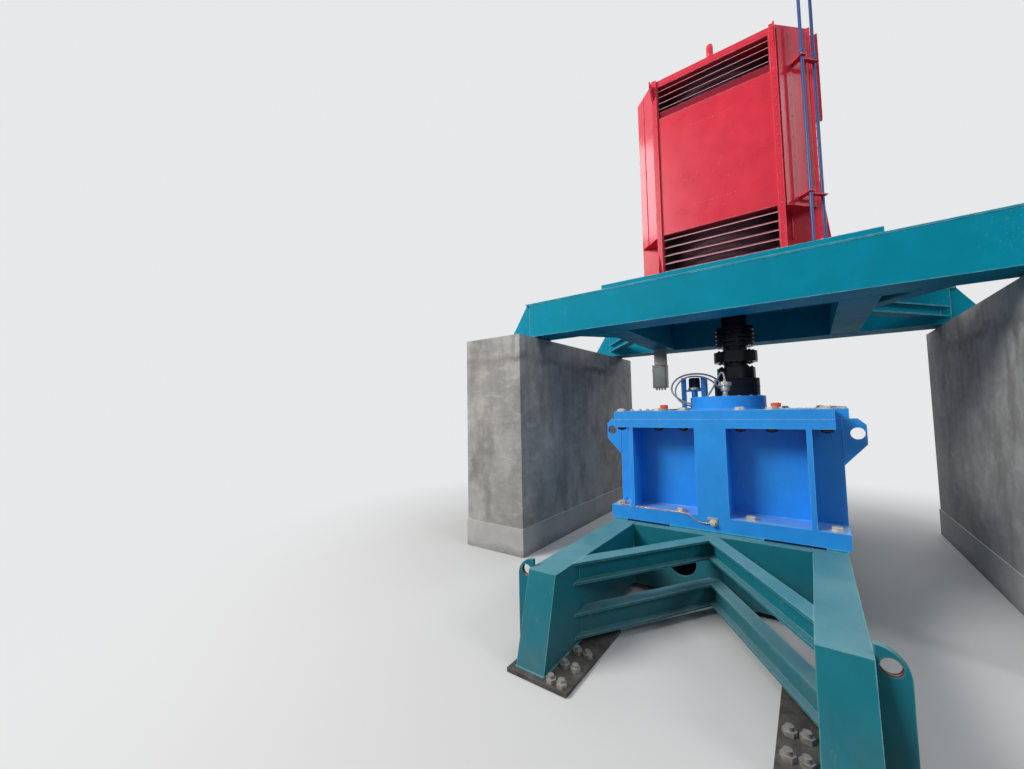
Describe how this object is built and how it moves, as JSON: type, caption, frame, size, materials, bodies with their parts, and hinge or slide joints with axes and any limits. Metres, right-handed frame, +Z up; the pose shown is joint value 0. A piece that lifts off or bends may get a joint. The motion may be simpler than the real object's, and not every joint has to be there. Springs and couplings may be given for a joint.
{
  "type": "vertical-shaft hydroelectric generator set on a gearbox and steel brackets",
  "caption": "Vertical hydroelectric generator on a steel bracket between wall piers, driven through a disc coupling by a speed-increaser gearbox on a floor bracket.",
  "frame": {"origin": "on the floor at the turbine axis, the middle of the lower bracket", "axes": "+Z up; +X to the right along the row of units; +Y away from the viewer, from the turbine shaft to the generator shaft"},
  "size_m": [5.42, 5.32, 5.75],
  "materials": {
    "concrete": "matte",
    "bare_steel": "matte",
    "teal_paint": "satin",
    "blue_paint": "satin",
    "red_paint": "satin",
    "grey_fitting": "satin",
    "dark_steel": "satin",
    "core_black": "matte"
  },
  "bodies": {
    "root": {"pier_left": "concrete", "pier_right": "concrete", "bearing_plates": "bare_steel", "sole_plates": "bare_steel", "anchor_bolts": "bare_steel", "lower_girder_left": "teal_paint", "lower_girder_right": "teal_paint", "bracket_lugs": "teal_paint", "lower_cross_front": "teal_paint", "lower_cross_back": "teal_paint", "lower_brace_front_left": "teal_paint", "lower_brace_front_right": "teal_paint", "lower_brace_back_left": "teal_paint", "lower_brace_back_right": "teal_paint", "seat_pads": "teal_paint", "gearbox_case": "blue_paint", "case_lugs": "blue_paint", "gearbox_cover": "blue_paint", "slow_bearing_cap": "blue_paint", "fast_bearing_housing": "blue_paint", "gearbox_fittings": "grey_fitting", "upper_beam_front": "teal_paint", "upper_beam_back": "teal_paint", "upper_side_left": "teal_paint", "upper_side_right": "teal_paint", "end_brace_front_left": "teal_paint", "end_brace_front_right": "teal_paint", "end_brace_back_left": "teal_paint", "end_brace_back_right": "teal_paint", "seat_frame": "teal_paint", "junction_box": "grey_fitting", "generator_base": "red_paint", "lower_guide_bearing": "red_paint", "stator_core": "core_black", "panel_front": "red_paint", "panel_back": "red_paint", "panel_left": "red_paint", "panel_right": "red_paint", "louvres_front": "red_paint", "louvres_back": "red_paint", "louvres_left": "red_paint", "louvre_right": "red_paint", "access_hatch": "red_paint", "corner_panels": "red_paint", "corner_covers": "red_paint", "foot_gussets": "red_paint", "top_plate": "red_paint", "top_crown": "red_paint", "lifting_lugs": "red_paint", "side_duct": "red_paint", "terminal_box": "red_paint", "terminal_duct": "red_paint", "oil_pipes": "blue_paint", "pipe_clamps": "red_paint", "oil_head": "grey_fitting"},
    "shaft": {"coupling_lower": "dark_steel", "coupling_flexible": "dark_steel", "generator_shaft": "dark_steel"}
  },
  "joints": [
    {"name": "shaft_spin", "type": "hinge", "parent": "root", "child": "shaft", "pos_m": [0, 0.7, 2.2], "axis": [0, 0, 1], "continuous": true}
  ]
}
